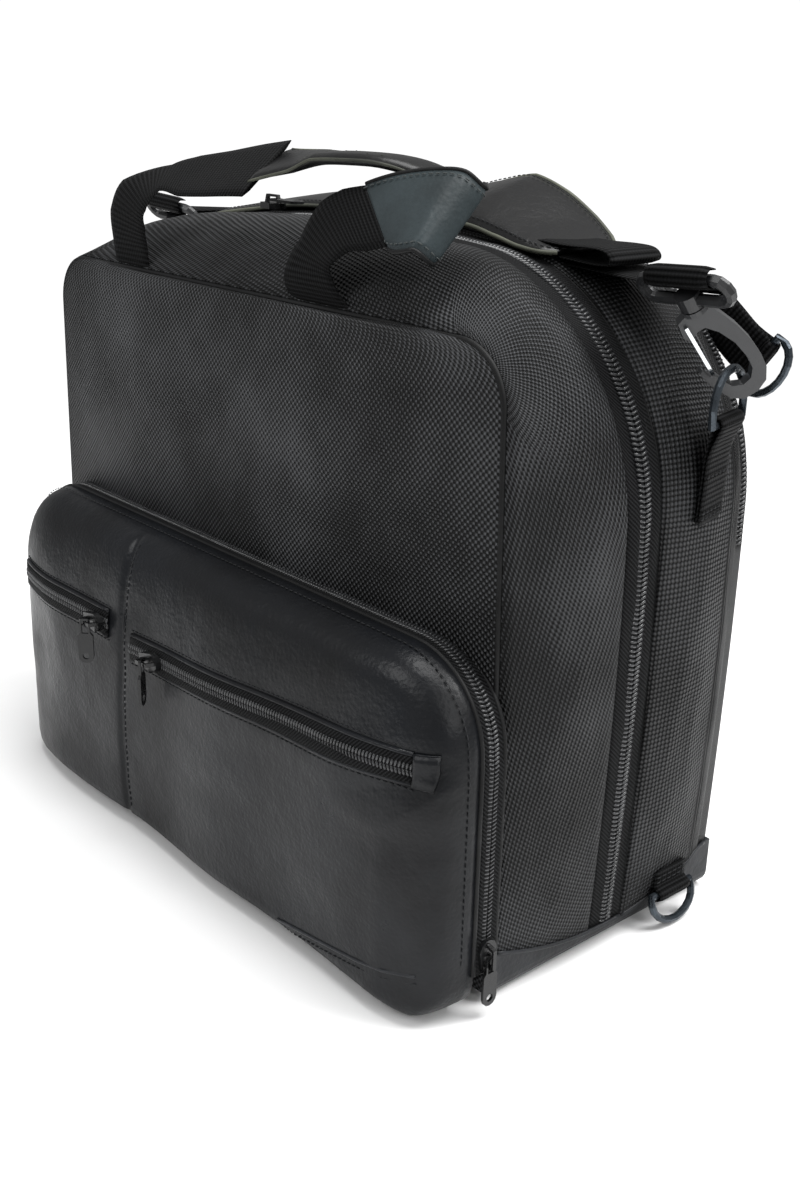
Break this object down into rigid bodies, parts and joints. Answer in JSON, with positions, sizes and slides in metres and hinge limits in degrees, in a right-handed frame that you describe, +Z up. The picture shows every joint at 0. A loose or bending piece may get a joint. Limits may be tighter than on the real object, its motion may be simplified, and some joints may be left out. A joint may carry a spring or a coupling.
{
  "type": "flight bag",
  "caption": "Soft-sided flight bag with a zip-open front, leather pocket, rear zip compartment, two carry handles and a clipped-on padded shoulder strap.",
  "frame": {"origin": "middle of the bag's footprint box, on the floor", "axes": "+Z up, front pocket towards -Y, +X to the right seen from the front"},
  "size_m": [0.4758, 0.2406, 0.3955],
  "materials": {
    "nylon": "dark grey ballistic nylon with a coarse weave",
    "webbing": "ribbed black webbing",
    "leather": "smooth black leather with a soft sheen",
    "zip_tape": "herringbone zip tape",
    "plastic": "dark grey moulded plastic",
    "gunmetal": "dark polished metal",
    "chrome": "bright wire",
    "lining": "plain lining",
    "board": "stiff base board"
  },
  "bodies": {
    "body": {"base_boot": "leather", "base_board": "board", "rear_gusset": "nylon", "main_zip_rear_tape": "zip_tape", "divider_panel": "lining", "rear_band": "nylon", "rear_zip_front_tape": "zip_tape", "back_panel_lower": "nylon", "side_tab_right": "webbing", "side_tab_left": "webbing", "bottom_tab_right": "webbing", "bottom_tab_left": "webbing", "shoulder_pad": "leather", "strap_webbing_right": "webbing", "strap_webbing_left": "webbing", "strap_eye_right": "plastic", "strap_eye_left": "plastic"},
    "front_cover": {"front_panel": "nylon", "front_gusset": "nylon", "main_zip_front_tape": "zip_tape", "pocket_zip_inner_tape": "zip_tape", "handle_anchor_left": "webbing", "handle_anchor_right": "webbing"},
    "pocket_cover": {"pocket_panel_left": "leather", "pocket_panel_right": "leather", "pocket_left_zip": "zip_tape", "pocket_right_zip": "zip_tape", "pocket_zip_outer_tape": "zip_tape"},
    "rear_flap": {"back_panel_upper": "nylon", "rear_zip_back_tape": "zip_tape", "top_tab_right": "webbing", "top_tab_left": "webbing"},
    "front_handle": {"front_handle_left_leg": "webbing", "front_handle_grip": "leather", "front_handle_wrap": "leather", "front_handle_right_leg": "webbing"},
    "rear_handle": {"rear_handle_webbing": "webbing", "rear_handle_wrap": "leather"},
    "main_slider": {"main_slider": "plastic"},
    "main_pull": {"main_pull": "plastic"},
    "rear_slider": {"rear_slider": "plastic"},
    "rear_pull": {"rear_pull": "plastic"},
    "pocket_slider": {"pocket_slider": "plastic"},
    "pocket_pull": {"pocket_pull": "plastic"},
    "left_zip_slider": {"left_zip_slider": "plastic"},
    "left_zip_pull": {"left_zip_pull": "plastic"},
    "right_zip_slider": {"right_zip_slider": "plastic"},
    "right_zip_pull": {"right_zip_pull": "plastic"},
    "side_ring_right": {"side_ring_right": "gunmetal"},
    "bottom_ring_right": {"bottom_ring_right": "gunmetal"},
    "top_ring_right": {"top_ring_right": "gunmetal"},
    "hook_right": {"hook_right": "plastic"},
    "hook_gate_right": {"hook_gate_right": "chrome"},
    "side_ring_left": {"side_ring_left": "gunmetal"},
    "bottom_ring_left": {"bottom_ring_left": "gunmetal"},
    "top_ring_left": {"top_ring_left": "gunmetal"},
    "hook_left": {"hook_left": "plastic"},
    "hook_gate_left": {"hook_gate_left": "chrome"}
  },
  "joints": [
    {"name": "front_cover_hinge", "type": "hinge", "parent": "body", "child": "front_cover", "pos_m": [0, -0.10477, 0.002], "axis": [1, 0, 0], "range_deg": [0, 55]},
    {"name": "pocket_hinge", "type": "hinge", "parent": "front_cover", "child": "pocket_cover", "pos_m": [0, -0.10477, 0.002], "axis": [1, 0, 0], "range_deg": [0, 30]},
    {"name": "rear_flap_hinge", "type": "hinge", "parent": "body", "child": "rear_flap", "pos_m": [0, 0.11223, 0.206], "axis": [-1, 0, 0], "range_deg": [0, 60]},
    {"name": "front_handle_hinge", "type": "hinge", "parent": "front_cover", "child": "front_handle", "pos_m": [0, -0.05727, 0.3228], "axis": [1, 0, 0], "range_deg": [-8, 90]},
    {"name": "rear_handle_hinge", "type": "hinge", "parent": "rear_flap", "child": "rear_handle", "pos_m": [0, 0.11463, 0.318], "axis": [1, 0, 0], "range_deg": [0, 175]},
    {"name": "main_slider_slide", "type": "slide", "parent": "body", "child": "main_slider", "axis": [1, 0, 0], "range_m": [0, 0.168]},
    {"name": "main_pull_hinge", "type": "hinge", "parent": "main_slider", "child": "main_pull", "pos_m": [-0.084, 0.02223, 0.35805], "axis": [0, -1, 0], "range_deg": [0, 170]},
    {"name": "rear_slider_slide", "type": "slide", "parent": "body", "child": "rear_slider", "axis": [1, 0, 0], "range_m": [0, 0.168]},
    {"name": "rear_pull_hinge", "type": "hinge", "parent": "rear_slider", "child": "rear_pull", "pos_m": [-0.084, 0.10223, 0.35705], "axis": [0, 1, 0], "range_deg": [0, 170]},
    {"name": "pocket_slider_slide", "type": "slide", "parent": "front_cover", "child": "pocket_slider", "axis": [0, 0, 1], "range_m": [0, 0.09]},
    {"name": "pocket_pull_hinge", "type": "hinge", "parent": "pocket_slider", "child": "pocket_pull", "pos_m": [0.2084, -0.06677, 0.034], "axis": [0, -1, 0], "range_deg": [0, 170]},
    {"name": "left_zip_slide", "type": "slide", "parent": "pocket_cover", "child": "left_zip_slider", "axis": [-1, 0, 0], "range_m": [0, 0.045]},
    {"name": "left_zip_pull_hinge", "type": "hinge", "parent": "left_zip_slider", "child": "left_zip_pull", "pos_m": [-0.082, -0.11647, 0.127], "axis": [-1, 0, 0], "range_deg": [0, 22]},
    {"name": "right_zip_slide", "type": "slide", "parent": "pocket_cover", "child": "right_zip_slider", "axis": [0.9981, 0, 0.0618], "range_m": [0, 0.15]},
    {"name": "right_zip_pull_hinge", "type": "hinge", "parent": "right_zip_slider", "child": "right_zip_pull", "pos_m": [-0.02, -0.11647, 0.12224], "axis": [-1, 0, 0], "range_deg": [0, 22]},
    {"name": "side_ring_right_hinge", "type": "hinge", "parent": "body", "child": "side_ring_right", "pos_m": [0.21601, 0.066, 0.27782], "axis": [-0.2079, 0.9781, 0.0104], "range_deg": [-7, 0]},
    {"name": "bottom_ring_right_hinge", "type": "hinge", "parent": "body", "child": "bottom_ring_right", "pos_m": [0.2091, 0.06923, 0.019], "axis": [0, -1, 0], "range_deg": [-8, 75]},
    {"name": "top_ring_right_hinge", "type": "hinge", "parent": "rear_flap", "child": "top_ring_right", "pos_m": [0.196, 0.11628, 0.298], "axis": [0.6, 0, 0.8], "range_deg": [-8, 75]},
    {"name": "hook_right_swivel", "type": "hinge", "parent": "body", "child": "hook_right", "pos_m": [0.21104, 0.03891, 0.33332], "axis": [0.08, 0.6203, -0.7803], "range_deg": [0, 8]},
    {"name": "hook_gate_right_hinge", "type": "hinge", "parent": "hook_right", "child": "hook_gate_right", "pos_m": [0.20713, 0.03931, 0.32324], "axis": [0.7928, -0.5141, -0.3274], "range_deg": [0, 22], "stiffness_Nm_per_rad": 0.01},
    {"name": "side_ring_left_hinge", "type": "hinge", "parent": "body", "child": "side_ring_left", "pos_m": [-0.21601, 0.066, 0.27782], "axis": [-0.2079, -0.9781, -0.0104], "range_deg": [-7, 0]},
    {"name": "bottom_ring_left_hinge", "type": "hinge", "parent": "body", "child": "bottom_ring_left", "pos_m": [-0.2091, 0.06923, 0.019], "axis": [0, 1, 0], "range_deg": [-8, 75]},
    {"name": "top_ring_left_hinge", "type": "hinge", "parent": "rear_flap", "child": "top_ring_left", "pos_m": [-0.196, 0.11628, 0.298], "axis": [0.6, 0, -0.8], "range_deg": [-8, 75]},
    {"name": "hook_left_swivel", "type": "hinge", "parent": "body", "child": "hook_left", "pos_m": [-0.21104, 0.03891, 0.33332], "axis": [0.08, -0.6203, 0.7803], "range_deg": [0, 8]},
    {"name": "hook_gate_left_hinge", "type": "hinge", "parent": "hook_left", "child": "hook_gate_left", "pos_m": [-0.20713, 0.03931, 0.32324], "axis": [0.7928, 0.5141, 0.3274], "range_deg": [0, 22], "stiffness_Nm_per_rad": 0.01}
  ]
}
